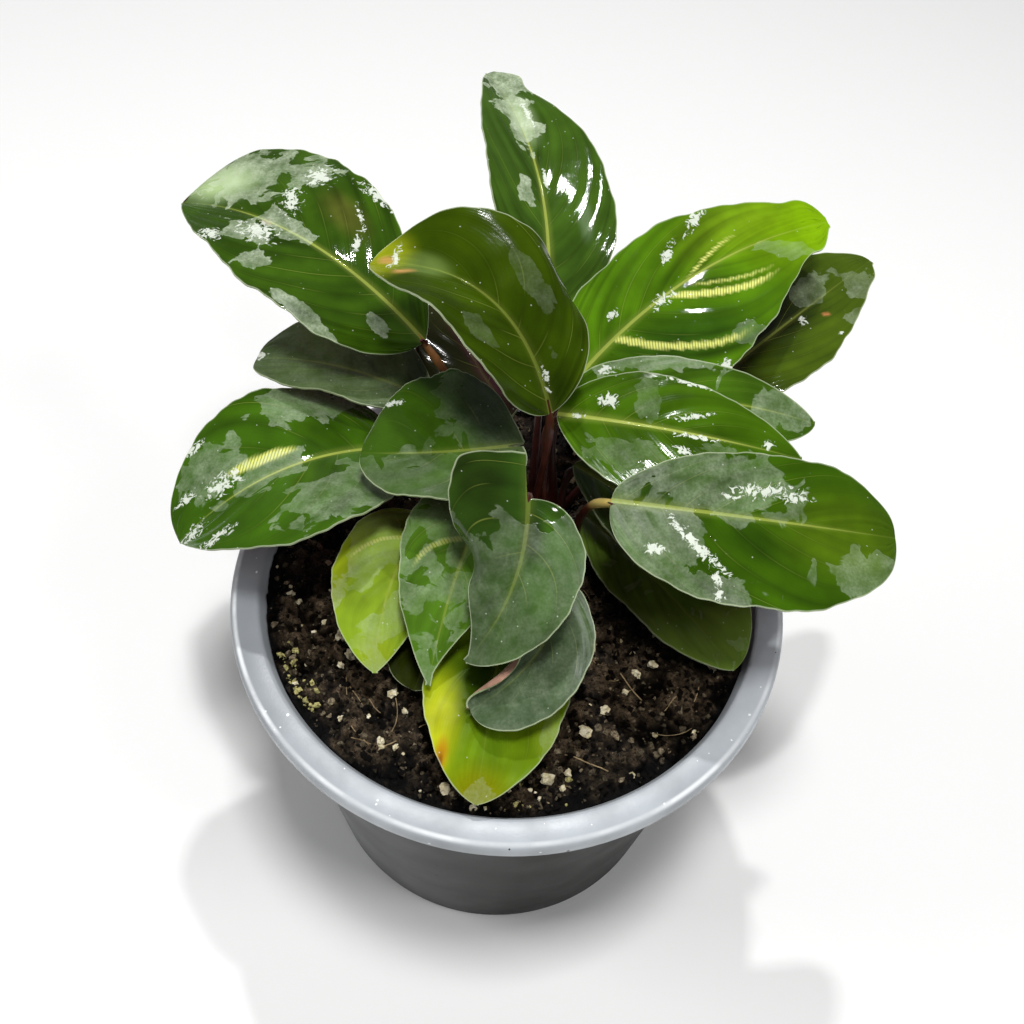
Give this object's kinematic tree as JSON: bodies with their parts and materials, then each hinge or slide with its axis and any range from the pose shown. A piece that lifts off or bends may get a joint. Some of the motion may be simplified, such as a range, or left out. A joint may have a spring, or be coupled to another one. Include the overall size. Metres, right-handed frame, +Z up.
{
  "type": "potted calathea plant",
  "caption": "Broad-leaved calathea with glossy dark green leaves on short stalks, growing from one crown in a tapered round nursery pot filled with soil.",
  "frame": {"origin": "centre of the pot's base, on the surface it stands on", "axes": "+Z up out of the pot; -Y is the front, where the yellowing leaf reaches the rim; +X is to the right seen from the front"},
  "size_m": [0.2071, 0.2334, 0.189],
  "materials": {
    "pot": "satin pale blue-grey",
    "soil": "rough crumbly peat with pale perlite",
    "leaf": "glossy wet dark green with a pale midrib",
    "yellowing_leaf": "glossy, yellowing toward the tip"
  },
  "bodies": {
    "root": {"pot": "pot", "soil": "soil", "leaf_back_left": "leaf", "leaf_back_upright": "leaf", "leaf_top": "leaf", "leaf_back_right": "leaf", "leaf_right_upper": "leaf", "leaf_right_middle": "leaf", "leaf_right_front": "leaf", "leaf_far_right": "leaf", "leaf_left": "leaf", "leaf_left_inner": "leaf", "leaf_left_shaded": "leaf", "leaf_front_lobed": "leaf", "leaf_front_left": "leaf", "leaf_front_lime": "yellowing_leaf", "leaf_front_low": "leaf", "leaf_front_yellow": "yellowing_leaf", "leaf_front_curled": "leaf", "leaf_right_low": "leaf", "leaf_right_narrow": "leaf", "leaf_back_small": "leaf"}
  },
  "joints": []
}
